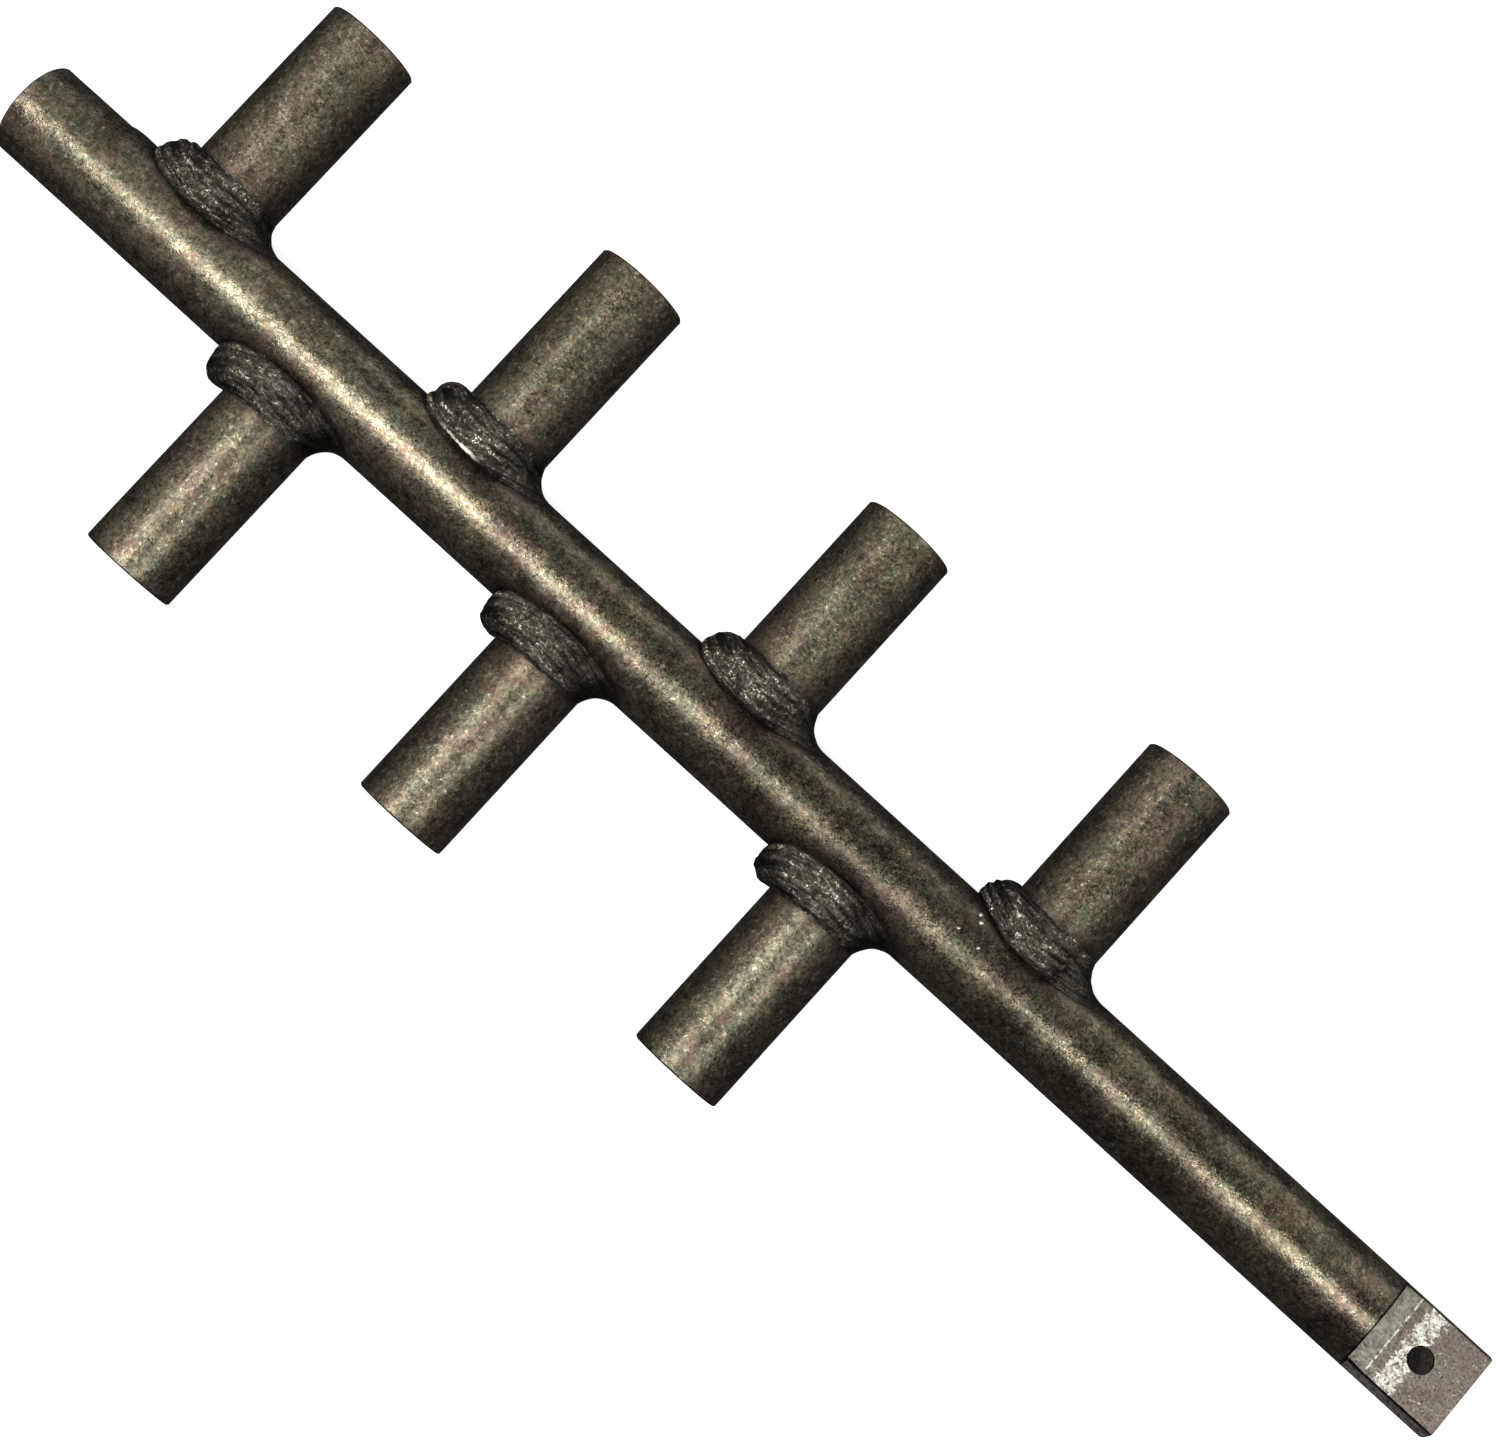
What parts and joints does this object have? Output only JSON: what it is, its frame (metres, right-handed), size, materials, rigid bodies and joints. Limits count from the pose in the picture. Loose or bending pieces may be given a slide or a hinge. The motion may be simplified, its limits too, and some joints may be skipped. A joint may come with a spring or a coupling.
{
  "type": "gas burner manifold",
  "caption": "Straight steel gas burner tube with open stub ports welded alternately on both sides and a milled, drilled mounting tab at its closed end.",
  "frame": {"origin": "centre of the inlet's mouth, on the main tube's axis", "axes": "+X along the main tube to the mounting tab, +Y along the odd-numbered port tubes, +Z on the side that the tab's milled face looks towards"},
  "size_m": [0.461, 0.135, 0.0284],
  "materials": {
    "tube_steel": "bare drawn steel tube, darkened and mottled, half gloss",
    "weld_metal": "rough oxidised weld bead with glinting ripples",
    "plug_steel": "freshly milled steel"
  },
  "bodies": {
    "root": {"manifold_tube": "tube_steel", "end_plug": "plug_steel", "port_tube_1": "tube_steel", "port_tube_2": "tube_steel", "port_tube_3": "tube_steel", "port_tube_4": "tube_steel", "port_tube_5": "tube_steel", "port_tube_6": "tube_steel", "port_tube_7": "tube_steel", "port_weld_1": "weld_metal", "port_weld_2": "weld_metal", "port_weld_3": "weld_metal", "port_weld_4": "weld_metal", "port_weld_5": "weld_metal", "port_weld_6": "weld_metal", "port_weld_7": "weld_metal", "weld_spatter": "weld_metal"}
  },
  "joints": []
}
